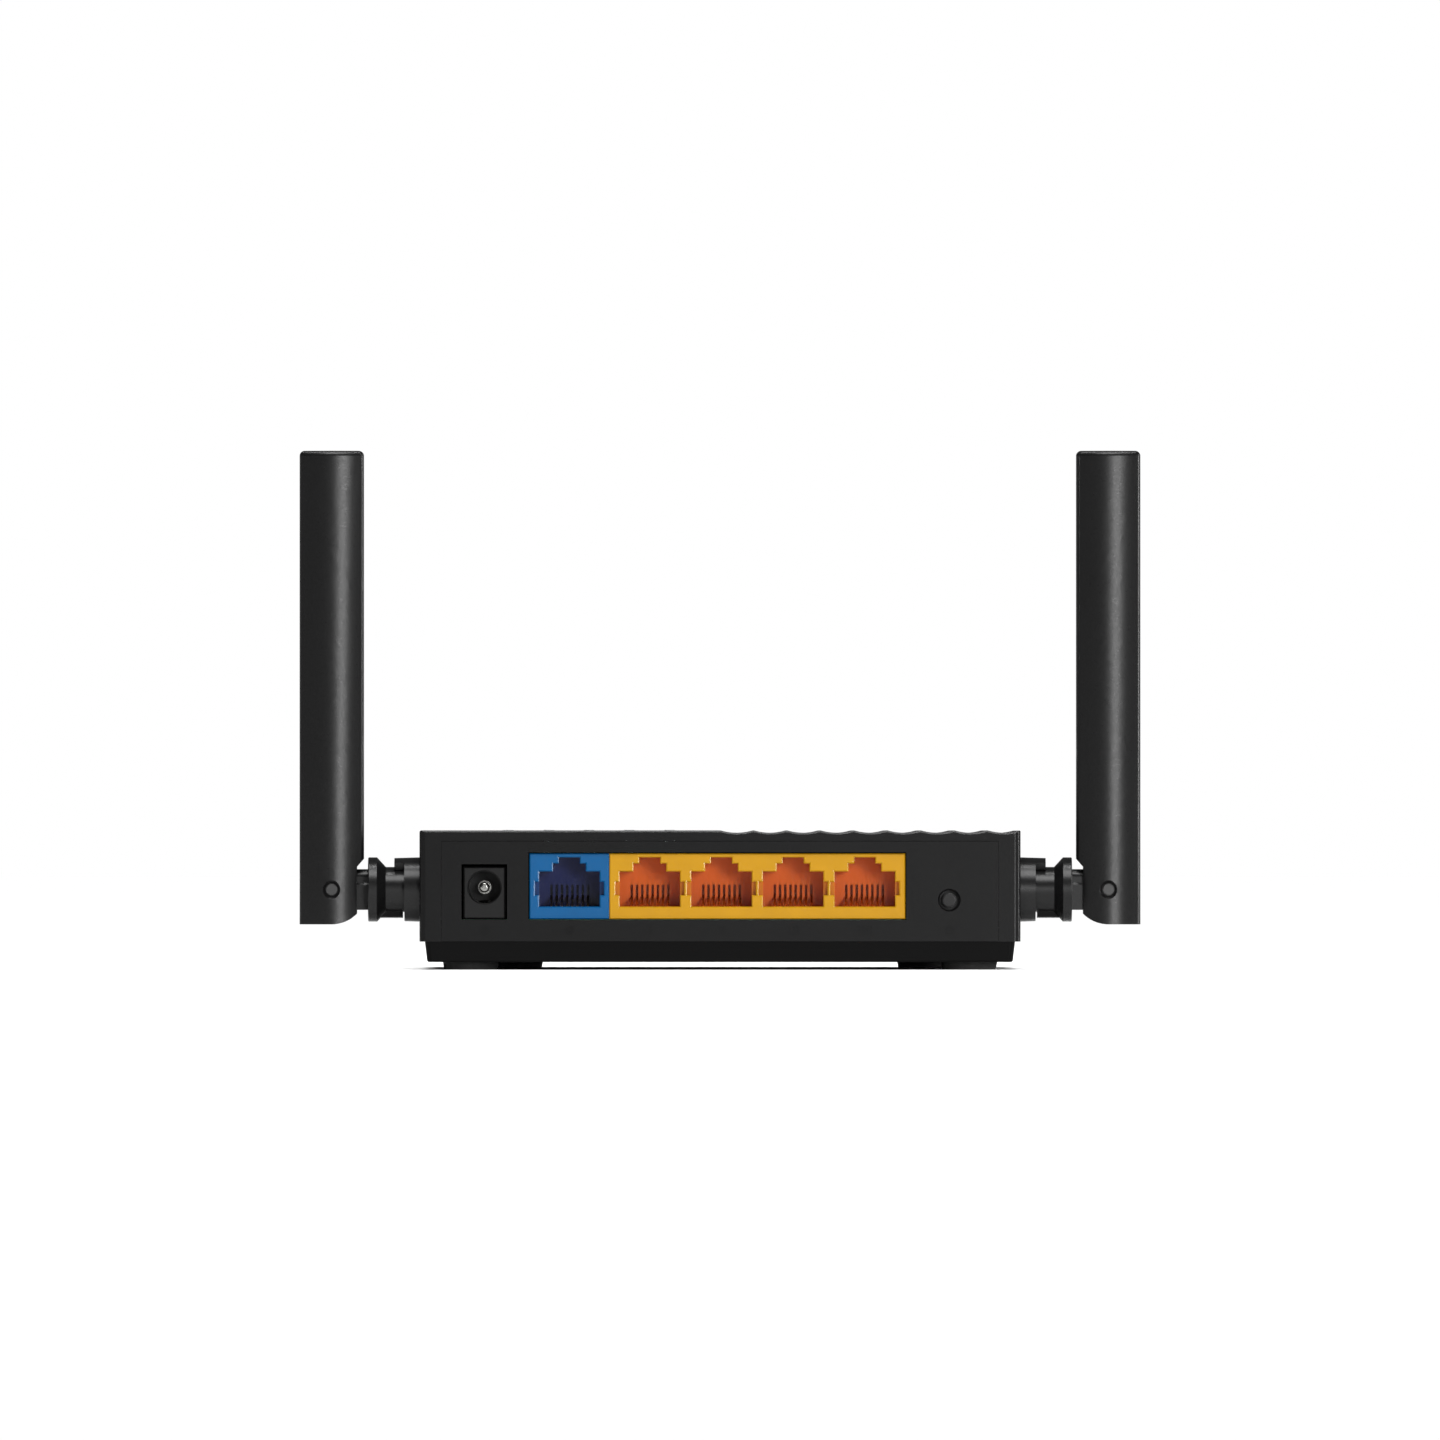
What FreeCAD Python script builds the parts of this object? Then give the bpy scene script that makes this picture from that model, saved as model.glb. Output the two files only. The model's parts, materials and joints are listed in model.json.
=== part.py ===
import FreeCAD, Part
import math
import os

# Compact desktop wireless router: a flat two-shell case with a connector panel at the back,
# one blue and four yellow network sockets, a barrel power socket, a reset button and two
# folding side antennas. Millimetres. +X is to the right seen from behind, -Y is the connector
# side, +Z is up. The origin is at the middle of the footprint, on the surface it stands on.

Vector = FreeCAD.Vector

# ---------------------------------------------------------------- case
BODY_W = 117.2
BODY_D = 110.0
TOP_Z = 27.2
SEAM_Z = 5.5
BASE_Z = 1.5
WALL = 2.0
INNER_CORNER_R = 0.8
CORNER_R = 1.2
TOP_EDGE_R = 0.45
HALF_W = BODY_W / 2
HALF_D = BODY_D / 2
CEILING_Z = TOP_Z - WALL
REAR_Y = -HALF_D
FLUTE_COUNT = 9
FLUTE_PITCH = HALF_W / FLUTE_COUNT
FLUTE_DEPTH = 0.46
RIDGE_R = 0.7
RIM_SOFTENING = (0.04, 0.12, 0.3)
END_BEVEL = 0.35
COVER_POST_R = 3.2
COVER_PILOT_R = 1.5
COVER_PILOT_END = 20.5
COVER_RIB_X = [-30.0, -10.0, 10.0, 30.0]
COVER_RIB_T = 1.2
COVER_RIB_Y = 46.0
COVER_RIB_BOTTOM = 18.0
CLEAR = 1.0
BITE = 0.2

# ---------------------------------------------------------------- base tray
BASE_INSET = 1.05
BASE_DRAFT = 0.45
BASE_CORNER_R = 1.0
BASE_EDGE_R = 0.45
FLOOR_T = 1.8
FLOOR_Z = BASE_Z + FLOOR_T
BASE_WALL = 2.2
LIP_TOP = 8.0
LIP_GAP = 0.25
LIP_T = 1.2
LIP_REAR = -50.8
FOOT_X_REAR = 48.7
FOOT_X_FRONT = 40.6
FOOT_Y = 43.5
FOOT_R = 5.47
FOOT_EDGE_R = 0.25
FEET = {
    "rear_left": (-FOOT_X_REAR, -FOOT_Y),
    "rear_right": (FOOT_X_REAR, -FOOT_Y),
    "front_left": (-FOOT_X_FRONT, FOOT_Y),
    "front_right": (FOOT_X_FRONT, FOOT_Y),
}
FOOT_RECESS = 0.4
FOOT_DRAFT = 0.25
LABEL_W = 46.0
LABEL_D = 26.0
LABEL_Y = -8.0
LABEL_GAP = 0.3
LABEL_T = 0.15
LABEL_RECESS = 0.25
KEYHOLE_X = 33.0
KEYHOLE_Y = 14.0
KEYHOLE_ENTRY_R = 3.9
KEYHOLE_SLOT_R = 2.0
KEYHOLE_RUN = 7.0
KEYHOLE_SKIN = 1.4
KEYHOLE_TOP = 6.6
KEYHOLE_WALL = 1.1
VENT_X = 17.0
VENT_Y = -34.0
VENT_W = 1.8
VENT_L = 15.0
VENT_PITCH = 4.2
VENT_COUNT = 7

# ---------------------------------------------------------------- connector panel
PANEL_HALF_W = 54.3
PANEL_TOP = 25.1
PANEL_T = 2.0
PANEL_GAP = 0.04
PANEL_CHAMFER = 0.06
PANEL_TAB_T = 1.2
PANEL_TAB_REACH = 1.2
PANEL_TAB_TOP = 8.1
MARK_Z = 7.7
MARK_DEPTH = 0.18
MARK_H = 1.7
MARK_STROKE = 0.26
JACK_FACE_Y = REAR_Y + 0.35
CUTOUT_GAP = 0.2

# ---------------------------------------------------------------- circuit board
PCB_HALF_W = 51.5
PCB_REAR = REAR_Y + 3.7
PCB_FRONT = 44.0
PCB_BOTTOM = 8.3
PCB_TOP = 9.9
CASE_SCREW_X = 44.0
CASE_SCREW_Y = 30.0
POST_SPLIT_Z = 12.4
POST_R = 4.3
POST_BORE_R = 1.6
SCREW_RECESS_R = 3.1
SCREW_SEAT_Z = 6.0
PCB_SCREWS = [(-47.0, 8.0), (47.0, 8.0), (0.0, 33.0)]
PEG_R = 2.8
PEG_PILOT_R = 1.0
PEG_PILOT_Z = 3.9
CASE_SCREW_HEAD = (2.7, 1.8)
CASE_SCREW_SHANK = (1.4, 14.0)
PCB_SCREW_HEAD = (2.2, 1.5)
PCB_SCREW_SHANK = (0.95, 5.4)
SCREW_HEAD_EDGE_R = 0.5
CROSS_HALF_T = 0.28

# ---------------------------------------------------------------- power socket
DC_X = -45.95
DC_W = 8.2
DC_TOP = 20.1
DC_DEPTH = 14.2
DC_FRONT_T = 3.6
DC_AXIS_Z = 16.1
DC_BORE_R = 3.1
DC_BORE_DEPTH = 10.0
DC_BOSS_R = 1.6
DC_BOSS_H = 1.2
DC_PIN_R = 1.0
DC_ROOT_R = 1.3
DC_PIN_TIP = 0.9
DC_HOLE_W = 8.9
DC_HOLE_BOTTOM = 9.8
DC_HOLE_TOP = 20.6

# ---------------------------------------------------------------- network sockets
RJ_PITCH = 13.97
RJ_MARGIN = 7.88
RJ_TOP = 22.7
RJ_DEPTH = 18.0
RJ_CAVITY_DEPTH = 12.0
RJ_MAIN = (5.9, 12.33, 19.2)
RJ_STEP = (3.2, 20.75)
RJ_NOTCH = (2.05, 21.95)
RJ_SIDE = (6.72, 14.55, 17.2)
RJ_SIDE_DEPTH = 2.6
RJ_BEVEL = 0.22
WAN_LEFT = -37.15
LAN_LEFT = -21.55
LAN_FIRST_X = LAN_LEFT + RJ_MARGIN
LAN_PORTS = 4
WAN_X = WAN_LEFT + 7.8
CONTACT_PITCH = 1.02
CONTACTS = 8
CONTACT_W = 0.4
CONTACT_T = 0.3
SLOT_W = 0.5
SLOT_LOW = 13.7
SLOT_TOP = 16.6
SLOT_DEPTH = 2.2
SOLDER_TAIL = 1.3

# ---------------------------------------------------------------- reset button
BUTTON_X = 44.7
BUTTON_Z = 13.6
BUTTON_R = 1.38
BUTTON_HOLE_R = 1.93
BUTTON_PROUD = 0.5
BUTTON_FLANGE_R = 2.5
SWITCH_FRONT = -50.2
SWITCH_DEPTH = 3.8
SWITCH_BORE_R = 1.8

# ---------------------------------------------------------------- antenna
HINGE_Y = REAR_Y + 9.0
HINGE_Z = 15.65
SOCKET_R = 6.34
SOCKET_DRAFT = 0.2
SOCKET_END = 61.6
TONGUE_END = 63.57
TONGUE_HALF_ANGLE = 33.0
TONGUE_INNER_R = 4.6
SOCKET_FLANGE_R = 7.6
SOCKET_FLANGE_T = 1.5
SHAFT_R = 4.4
SHAFT_GAP = 0.05
SHAFT_BORE_R = 2.8
SHAFT_END = 53.2
GROOVE_R = 3.7
GROOVE_IN = 53.85
GROOVE_OUT = 54.7
WASHER_IN = 54.75
RING_R = 6.0
RING_SPLIT = 3.2
WASHER_R = 6.6
RIB_IN = 61.9
RIB_OUT = 66.6
RIB_R = 5.57
RIB_HALF_ANGLE = 14.0
CONE_START = 65.24
RIM_START = 66.96
RIM_END = 68.69
RIM_R = 6.28
LUG_X = 75.8
LUG_R = 3.97
LUG_HALF_T = 2.1
LUG_UPPER_HALF_T = 1.65
LUG_STEP_Z = 1.35
LUG_STEP_CHAMFER = 0.45
LUG_TOP_R = 1.6
GUSSET_PROUD = 0.08
GUSSET_REACH = 2.1
GUSSET_ROOT = (-2.9, -3.7)
GUSSET_TIP = (-2.1, -1.3)
SLOT_HALF_T = 2.25
PIN_R = 1.15
PIN_BORE_R = 1.2
PIN_IN = 1.2
PIN_OUT = 3.85
CABLE_R = 0.6
CABLE_BORE_R = 0.9
CABLE_SLOT_HALF = 1.0
BLADE_HALF_W = 6.27
BLADE_FOOT = 6.8
BLADE_TOP = 85.65
BLADE_CROWN = 4.3
BLADE_EDGE = 2.3
BLADE_TIP_CROWN = 3.1
BLADE_TIP_EDGE = 1.7
BLADE_EDGE_R = 1.1
BLADE_TIP_R = 1.0
RELIEF_X = 4.9
RELIEF_LOW = 4.42
RELIEF_HIGH = 6.0
COUNTERSINK_R = 1.92
COUNTERSINK_DEPTH = 0.75
CAVITY_HALF_W = 4.7
CAVITY_HALF_T = 1.7
CAVITY_START = 9.0
CAVITY_END_WALL = 2.5
CABLE_WAY_R = 1.2
RADIATOR_START = 20.0

# ---------------------------------------------------------------- parts on the board
PROCESSOR = (-6.0, 8.0, -7.0, 7.0, 1.4, 0.15)
CHIPS = {
    "processor_chip": [PROCESSOR],
    "memory_chip": [(-22.0, -11.0, -6.0, 4.0, 1.1, 0.25)],
    "flash_chip": [(-20.0, -14.0, 8.0, 13.0, 1.8, 0.25)],
    "wan_transformer": [(-35.0, -23.5, -34.5, -27.0, 3.2, 0.25)],
    "lan_transformers": [(-17.0, 3.0, -34.5, -27.0, 4.6, 0.25), (10.0, 30.0, -34.5, -27.0, 4.6, 0.25)],
    "power_inductor": [(-32.0, -25.0, -12.5, -5.5, 4.0, 0.8)],
    "clock_crystal": [(-4.0, 1.0, 12.0, 15.2, 0.9, 0.2)],
}
HEAT_SINK_AREA = (-7.0, 9.0, -8.0, 8.0)
HEAT_SINK_BASE = 1.5
HEAT_SINK_H = 7.0
FIN_COUNT = 7
FIN_T = 1.0
CAPACITORS = [(-33.5, -20.0, 3.2, 9.0), (-26.0, -20.0, 3.2, 9.0), (-38.0, -9.0, 2.5, 7.5)]
SHIELD_AREA = (14.0, 38.0, -26.0, -6.0)
SHIELD_H = 2.8
SHIELD_T = 0.3

# ---------------------------------------------------------------- status lights
LED_X = [-42.0, -34.0, -26.0, -18.0, -10.0]
LED_Y = 40.0
LED_R = 1.0
LED_HOLE_R = 1.05
LED_BODY = (0.8, 0.6, 0.8)
LIGHT_PROUD = 0.12
LIGHT_BAR_Z = (22.6, 24.9)


# ================================================================ helpers
def box(x0, x1, y0, y1, z0, z1):
    return Part.makeBox(x1 - x0, y1 - y0, z1 - z0, Vector(x0, y0, z0))


def rod(radius, start, end):
    """A cylinder from one point to another."""
    start, end = Vector(*start), Vector(*end)
    return Part.makeCylinder(radius, (end - start).Length, start, end - start)


def cone(radius_0, radius_1, start, end):
    start, end = Vector(*start), Vector(*end)
    return Part.makeCone(radius_0, radius_1, (end - start).Length, start, end - start)


def fuse(first, *others):
    return first.multiFuse(list(others)).removeSplitter()


def cut(shape, *tools):
    return shape.cut(list(tools))


def group(shapes):
    return Part.makeCompound(shapes)


def mirror(shape):
    """The same piece on the -X side."""
    return shape.mirror(Vector(0, 0, 0), Vector(1, 0, 0))


def prism(points, axis, low, high):
    """A polygon given in the two other axes, drawn out along X, Y or Z from low to high."""
    place = {
        "X": lambda a, b: Vector(low, a, b),
        "Y": lambda a, b: Vector(a, low, b),
        "Z": lambda a, b: Vector(a, b, low),
    }[axis]
    corners = [place(a, b) for a, b in points]
    face = Part.Face(Part.makePolygon(corners + corners[:1]))
    along = {"X": Vector(1, 0, 0), "Y": Vector(0, 1, 0), "Z": Vector(0, 0, 1)}[axis]
    return face.extrude(along * (high - low))


def edges_where(shape, test):
    """The edges whose both ends and middle pass a test on their points."""
    found = []
    for edge in shape.Edges:
        middle = edge.valueAt((edge.FirstParameter + edge.LastParameter) / 2)
        points = [v.Point for v in edge.Vertexes] + [middle]
        if all(test(p) for p in points):
            found.append(edge)
    return found


def close(a, b, tolerance=1e-3):
    return abs(a - b) < tolerance


def sector(inner_r, outer_r, low_x, high_x, middle_deg, half_deg):
    """Part of a ring about the swivel axis. Angles run from +Y towards +Z."""
    centre = Vector(low_x, HINGE_Y, HINGE_Z)

    def at(radius, degrees):
        angle = math.radians(degrees)
        return centre + Vector(0, radius * math.cos(angle), radius * math.sin(angle))

    first, last = middle_deg - half_deg, middle_deg + half_deg
    outer = Part.Arc(at(outer_r, first), at(outer_r, middle_deg), at(outer_r, last))
    inner = Part.Arc(at(inner_r, last), at(inner_r, middle_deg), at(inner_r, first))
    sides = [
        Part.LineSegment(at(outer_r, last), at(inner_r, last)),
        Part.LineSegment(at(inner_r, first), at(outer_r, first)),
    ]
    wire = Part.Wire([outer.toShape(), sides[0].toShape(), inner.toShape(), sides[1].toShape()])
    return Part.Face(wire).extrude(Vector(high_x - low_x, 0, 0))


def swivel_rod(radius, low_x, high_x):
    return rod(radius, (low_x, HINGE_Y, HINGE_Z), (high_x, HINGE_Y, HINGE_Z))


def cable(points, radius, share=0.45):
    """A round cable along straight runs joined by tangent arcs."""
    points = [Vector(*p) for p in points]
    edges = []
    last = points[0]
    for before, corner, after in zip(points, points[1:], points[2:]):
        to_start, to_end = before - corner, after - corner
        run = share * min(to_start.Length, to_end.Length)
        a = corner + to_start.normalize() * run
        b = corner + to_end.normalize() * run
        half = math.pi / 2 - to_start.getAngle(to_end) / 2
        bend_r = run / math.tan(half)
        inward = (to_start + to_end).normalize()
        centre = corner + inward * math.hypot(run, bend_r)
        edges.append(Part.LineSegment(last, a).toShape())
        edges.append(Part.Arc(a, centre - inward * bend_r, b).toShape())
        last = b
    edges.append(Part.LineSegment(last, points[-1]).toShape())
    path = Part.Wire(edges)
    start = Part.Circle(points[0], points[1] - points[0], radius).toShape()
    return path.makePipeShell([Part.Wire(start)], True, False)


# ================================================================ case
def top_outline(y, drop):
    """The case's section across X: flat on the left, shallow flutes on the right."""
    pitch = FLUTE_PITCH
    top = TOP_Z - drop
    reach = ((pitch / 2) ** 2 + FLUTE_DEPTH**2) / (2 * FLUTE_DEPTH)
    ridge_z = top - RIDGE_R
    flute_z = top - FLUTE_DEPTH + reach - RIDGE_R
    left, right = -HALF_W, HALF_W

    def on_ridge(x, side, share):
        """A point on a ridge's small arc: share 1 is where it meets the flute beside it."""
        toward = Vector(side * pitch / 2, 0, flute_z - ridge_z).normalize()
        toward = (toward * share + Vector(0, 0, 1) * (1 - share)).normalize()
        return Vector(x, y, ridge_z) + toward * RIDGE_R

    corner = TOP_EDGE_R * (1 - math.sqrt(0.5))
    edges = [
        Part.LineSegment(Vector(left, y, SEAM_Z), Vector(left, y, top - TOP_EDGE_R)),
        Part.Arc(
            Vector(left, y, top - TOP_EDGE_R),
            Vector(left + corner, y, top - corner),
            Vector(left + TOP_EDGE_R, y, top),
        ),
        Part.LineSegment(Vector(left + TOP_EDGE_R, y, top), Vector(0, y, top)),
    ]
    for i in range(FLUTE_COUNT):
        x0, x1 = i * pitch, (i + 1) * pitch
        valley = Vector((x0 + x1) / 2, y, top - FLUTE_DEPTH)
        edges.append(Part.Arc(Vector(x0, y, top), on_ridge(x0, 1, 0.5), on_ridge(x0, 1, 1)))
        edges.append(Part.Arc(on_ridge(x0, 1, 1), valley, on_ridge(x1, -1, 1)))
        if i < FLUTE_COUNT - 1:
            edges.append(Part.Arc(on_ridge(x1, -1, 1), on_ridge(x1, -1, 0.5), Vector(x1, y, top)))
    last = on_ridge(right, -1, 1)
    inset, half_drop, full_drop = RIM_SOFTENING
    side_top = Vector(right, y, last.z - full_drop)
    edges.append(Part.Arc(last, Vector(right - inset, y, last.z - half_drop), side_top))
    edges.append(Part.LineSegment(side_top, Vector(right, y, SEAM_Z)))
    edges.append(Part.LineSegment(Vector(right, y, SEAM_Z), Vector(left, y, SEAM_Z)))
    return Part.Wire([e.toShape() for e in edges])


def case_block():
    """The outer form of the top cover: fluted, bevelled along both ends, with rounded corners."""
    bevel = END_BEVEL
    stations = [(-HALF_D, bevel), (-HALF_D + bevel, 0), (HALF_D - bevel, 0), (HALF_D, bevel)]
    sections = [top_outline(y, drop) for y, drop in stations]
    block = Part.makeLoft(sections, True, True)
    bounds = box(-HALF_W, HALF_W, -HALF_D, HALF_D, SEAM_Z - 1, TOP_Z + 1)
    uprights = edges_where(bounds, lambda p: close(abs(p.x), HALF_W) and close(abs(p.y), HALF_D))
    return block.common(bounds.makeFillet(CORNER_R, uprights))


def upright(radius, place, low, high):
    """A cylinder along Z at a place given in X and Y."""
    x, y = place
    return rod(radius, (x, y, low), (x, y, high))


def screw_posts(radius, low, high):
    places = [(sx * CASE_SCREW_X, sy * CASE_SCREW_Y) for sx in (-1, 1) for sy in (-1, 1)]
    return [upright(radius, place, low, high) for place in places]


def cover_room():
    """The hollow under the top cover."""
    half_w, half_d = HALF_W - WALL, HALF_D - WALL
    room = box(-half_w, half_w, -half_d, half_d, SEAM_Z - CLEAR, CEILING_Z)
    corners = edges_where(room, lambda p: close(abs(p.x), half_w) and close(abs(p.y), half_d))
    return room.makeFillet(INNER_CORNER_R, corners)


def top_cover():
    window = box(
        -PANEL_HALF_W - PANEL_GAP, PANEL_HALF_W + PANEL_GAP,
        REAR_Y - CLEAR, REAR_Y + WALL + CLEAR,
        SEAM_Z - CLEAR, PANEL_TOP + PANEL_GAP,
    )
    antenna_holes = swivel_rod(SOCKET_R, -HALF_W - CLEAR, HALF_W + CLEAR)
    lights = [upright(LED_HOLE_R, (x, LED_Y), CEILING_Z - CLEAR, TOP_Z + CLEAR) for x in LED_X]
    shell = cut(case_block(), cover_room(), window, antenna_holes, *lights)
    posts = screw_posts(COVER_POST_R, POST_SPLIT_Z, CEILING_Z + BITE)
    half_t = COVER_RIB_T / 2
    ribs = [
        box(x - half_t, x + half_t, COVER_RIB_Y, HALF_D - WALL + BITE, COVER_RIB_BOTTOM, CEILING_Z + BITE)
        for x in COVER_RIB_X
    ]
    pilots = screw_posts(COVER_PILOT_R, POST_SPLIT_Z - CLEAR, COVER_PILOT_END)
    return cut(fuse(shell, *posts, *ribs), *pilots)


def tapered_block(half_w0, half_d0, z0, half_w1, half_d1, z1):
    def rectangle(w, d, z):
        return Part.makePolygon(
            [Vector(-w, -d, z), Vector(w, -d, z), Vector(w, d, z), Vector(-w, d, z), Vector(-w, -d, z)]
        )

    return Part.makeLoft([rectangle(half_w0, half_d0, z0), rectangle(half_w1, half_d1, z1)], True, True)


def keyhole(x):
    """A wall-hanging slot: a round entry, a narrow slot in the skin and room behind it."""
    y0, y1 = KEYHOLE_Y, KEYHOLE_Y - KEYHOLE_RUN
    low, skin_z = BASE_Z - CLEAR, BASE_Z + KEYHOLE_SKIN
    return [
        upright(KEYHOLE_ENTRY_R, (x, y0), low, KEYHOLE_TOP),
        upright(KEYHOLE_SLOT_R, (x, y1), low, KEYHOLE_TOP),
        box(x - KEYHOLE_SLOT_R, x + KEYHOLE_SLOT_R, y1, y0, low, KEYHOLE_TOP),
        upright(KEYHOLE_ENTRY_R, (x, y1), skin_z, KEYHOLE_TOP),
        box(x - KEYHOLE_ENTRY_R, x + KEYHOLE_ENTRY_R, y1, y0, skin_z, KEYHOLE_TOP),
    ]


def keyhole_housing(x):
    y0, y1 = KEYHOLE_Y, KEYHOLE_Y - KEYHOLE_RUN
    r = KEYHOLE_ENTRY_R + KEYHOLE_WALL
    low, top = FLOOR_Z - CLEAR, KEYHOLE_TOP + KEYHOLE_WALL
    ends = [upright(r, (x, y), low, top) for y in (y0, y1)]
    return fuse(box(x - r, x + r, y1, y0, low, top), *ends)


def vents():
    """Two rows of round-ended slots in the tray's floor."""
    low, high = BASE_Z - CLEAR, FLOOR_Z + CLEAR
    slots = []
    for side in (-1, 1):
        for i in range(VENT_COUNT):
            x = side * VENT_X + (i - (VENT_COUNT - 1) / 2) * VENT_PITCH
            slots.append(box(x - VENT_W / 2, x + VENT_W / 2, VENT_Y, VENT_Y + VENT_L, low, high))
            slots += [upright(VENT_W / 2, (x, y), low, high) for y in (VENT_Y, VENT_Y + VENT_L)]
    return slots


def tray():
    """The base's outer form, drafted and rounded, hollowed down to its floor."""
    half_w, half_d = HALF_W - BASE_INSET, HALF_D - BASE_INSET
    outer = tapered_block(half_w - BASE_DRAFT, half_d - BASE_DRAFT, BASE_Z, half_w, half_d, SEAM_Z)
    slanted = edges_where(outer, lambda p: abs(p.x) > half_w - 1 and abs(p.y) > half_d - 1)
    outer = outer.makeFillet(BASE_CORNER_R, slanted)
    outer = outer.makeFillet(BASE_EDGE_R, edges_where(outer, lambda p: close(p.z, BASE_Z)))
    w_in, d_in = half_w - BASE_WALL, half_d - BASE_WALL
    return cut(outer, box(-w_in, w_in, -d_in, d_in, FLOOR_Z, SEAM_Z + CLEAR))


def locating_lip():
    """The low wall that guides the top cover, open towards the connector panel."""
    half_w, front = HALF_W - WALL - LIP_GAP, HALF_D - WALL - LIP_GAP
    return cut(
        box(-half_w, half_w, LIP_REAR, front, SEAM_Z - BITE, LIP_TOP),
        box(
            -half_w + LIP_T, half_w - LIP_T, LIP_REAR - CLEAR, front - LIP_T,
            SEAM_Z - CLEAR, LIP_TOP + CLEAR,
        ),
    )


def bottom_cover():
    root_z = FLOOR_Z - CLEAR
    posts = screw_posts(POST_R, root_z, POST_SPLIT_Z)
    pegs = [upright(PEG_R, place, root_z, PCB_BOTTOM) for place in PCB_SCREWS]
    wells = [keyhole_housing(x) for x in (-KEYHOLE_X, KEYHOLE_X)]
    solid = fuse(tray(), locating_lip(), *posts, *pegs, *wells)
    low = BASE_Z - CLEAR
    recess_r = FOOT_R - FOOT_DRAFT + 0.1
    recesses = [upright(recess_r, place, low, BASE_Z + FOOT_RECESS) for place in FEET.values()]
    label = box(-LABEL_W / 2, LABEL_W / 2, LABEL_Y, LABEL_Y + LABEL_D, low, BASE_Z + LABEL_RECESS)
    return cut(
        solid,
        *screw_posts(SCREW_RECESS_R, low, SCREW_SEAT_Z),
        *screw_posts(POST_BORE_R, SCREW_SEAT_Z - CLEAR, POST_SPLIT_Z + CLEAR),
        *[upright(PEG_PILOT_R, place, PEG_PILOT_Z, PCB_BOTTOM + CLEAR) for place in PCB_SCREWS],
        *[tool for x in (-KEYHOLE_X, KEYHOLE_X) for tool in keyhole(x)],
        *recesses,
        *vents(),
        label,
    )


def rubber_foot(place):
    """A moulded foot: a short tapered pad with a stub glued into the base's recess."""
    x, y = place
    pad = cone(FOOT_R - FOOT_DRAFT, FOOT_R, (x, y, 0), (x, y, BASE_Z))
    pad = pad.makeFillet(FOOT_EDGE_R, edges_where(pad, lambda p: close(p.z, 0)))
    return fuse(pad, upright(FOOT_R - FOOT_DRAFT, place, BASE_Z - BITE, BASE_Z + FOOT_RECESS))


def rating_label():
    half_w = LABEL_W / 2 - LABEL_GAP
    top = BASE_Z + LABEL_RECESS
    return box(
        -half_w, half_w, LABEL_Y + LABEL_GAP, LABEL_Y + LABEL_D - LABEL_GAP, top - LABEL_T, top
    )


def screw(place, seat_z, up, head, shank):
    """A cross-recessed screw: head and shank are (radius, length), up is where the shank points."""
    x, y = place
    head_r, head_h = head
    shank_r, shank_l = shank
    face_z = seat_z - up * head_h
    cap = rod(head_r, (x, y, face_z), (x, y, seat_z))
    cap = cap.makeFillet(SCREW_HEAD_EDGE_R, edges_where(cap, lambda p: close(p.z, face_z)))
    tip_z = seat_z + up * shank_l
    body = rod(shank_r, (x, y, seat_z), (x, y, tip_z - up * shank_r))
    tip = cone(shank_r, shank_r / 3, (x, y, tip_z - up * shank_r), (x, y, tip_z))
    low, high = sorted([face_z - up * BITE, face_z + up * head_h / 2])
    arm, half_t = head_r / 2, CROSS_HALF_T
    cross = [
        box(x - arm, x + arm, y - half_t, y + half_t, low, high),
        box(x - half_t, x + half_t, y - arm, y + arm, low, high),
    ]
    return cut(fuse(cap, body, tip), *cross)


def case_screws():
    places = [(sx * CASE_SCREW_X, sy * CASE_SCREW_Y) for sx in (-1, 1) for sy in (-1, 1)]
    return group([screw(place, SCREW_SEAT_Z, 1, CASE_SCREW_HEAD, CASE_SCREW_SHANK) for place in places])


def pcb_screws():
    return group([screw(place, PCB_TOP, -1, PCB_SCREW_HEAD, PCB_SCREW_SHANK) for place in PCB_SCREWS])


# ================================================================ connector panel
def ring_mark(x, outer_r):
    y = REAR_Y - 1
    end = REAR_Y + MARK_DEPTH
    return cut(
        rod(outer_r, (x, y, MARK_Z), (x, end, MARK_Z)),
        rod(outer_r - MARK_STROKE, (x, y - 1, MARK_Z), (x, end + 1, MARK_Z)),
    )


def bar_mark(x, z, width, height):
    return box(
        x - width / 2, x + width / 2, REAR_Y - 1, REAR_Y + MARK_DEPTH, z - height / 2, z + height / 2
    )


def panel_marks():
    """Shallow pictograms: standby sign, globe, one to four bars, and a turning arrow."""
    r = MARK_H / 2
    gap = bar_mark(DC_X, MARK_Z + r, 0.9, 0.9)
    power = [cut(ring_mark(DC_X, r), gap), bar_mark(DC_X, MARK_Z + r * 0.55, MARK_STROKE, r)]
    globe = [
        ring_mark(WAN_X, r),
        bar_mark(WAN_X, MARK_Z, MARK_STROKE, 2 * r - 0.2),
        bar_mark(WAN_X, MARK_Z, 2 * r - 0.2, MARK_STROKE),
    ]
    bars = []
    for port in range(LAN_PORTS):
        centre = LAN_FIRST_X + port * RJ_PITCH
        for i in range(port + 1):
            bars.append(bar_mark(centre + (i - port / 2) * 0.8, MARK_Z, MARK_STROKE, MARK_H))
    arrow_z = MARK_Z + 0.45
    arrow_gap = bar_mark(BUTTON_X + r, arrow_z, 0.9, 0.7)
    arrow = prism(
        [(BUTTON_X + 0.2, arrow_z), (BUTTON_X + 1.25, arrow_z), (BUTTON_X + 0.72, MARK_Z - 0.2)],
        "Y", REAR_Y - CLEAR, REAR_Y + MARK_DEPTH,
    )
    return power + globe + bars + [cut(ring_mark(BUTTON_X, r), arrow_gap), arrow]


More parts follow.
